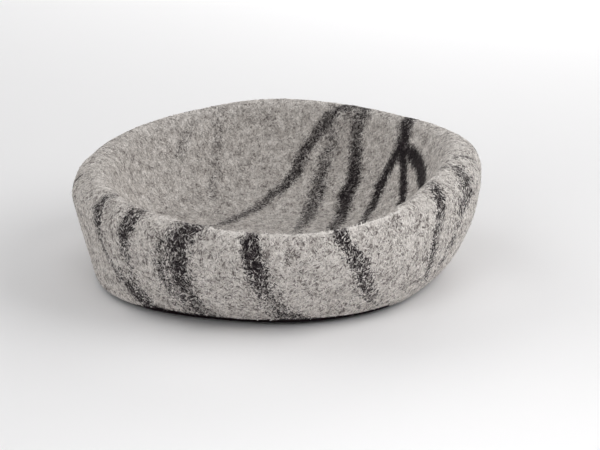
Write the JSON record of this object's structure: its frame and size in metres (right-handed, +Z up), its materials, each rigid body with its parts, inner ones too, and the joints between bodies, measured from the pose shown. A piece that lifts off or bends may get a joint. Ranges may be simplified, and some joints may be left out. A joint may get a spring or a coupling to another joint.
{
  "type": "felt cat cave pushed in as an open bed",
  "caption": "Seamless wool felt cat cave, its upper half pushed down into its lower half to make a round open bed with a soft folded rim and the entrance at the front.",
  "frame": {"origin": "middle of the flat base, on the surface that the cave stands on", "axes": "+Z up, -Y towards the front with the entrance, +X to the right as seen from the front"},
  "size_m": [0.479, 0.489, 0.1444],
  "materials": {
    "wool_felt": "matte, fuzzy wet-felted wool, light grey with random charcoal streaks"
  },
  "bodies": {
    "root": {"felt_cave": "wool_felt"}
  },
  "joints": []
}
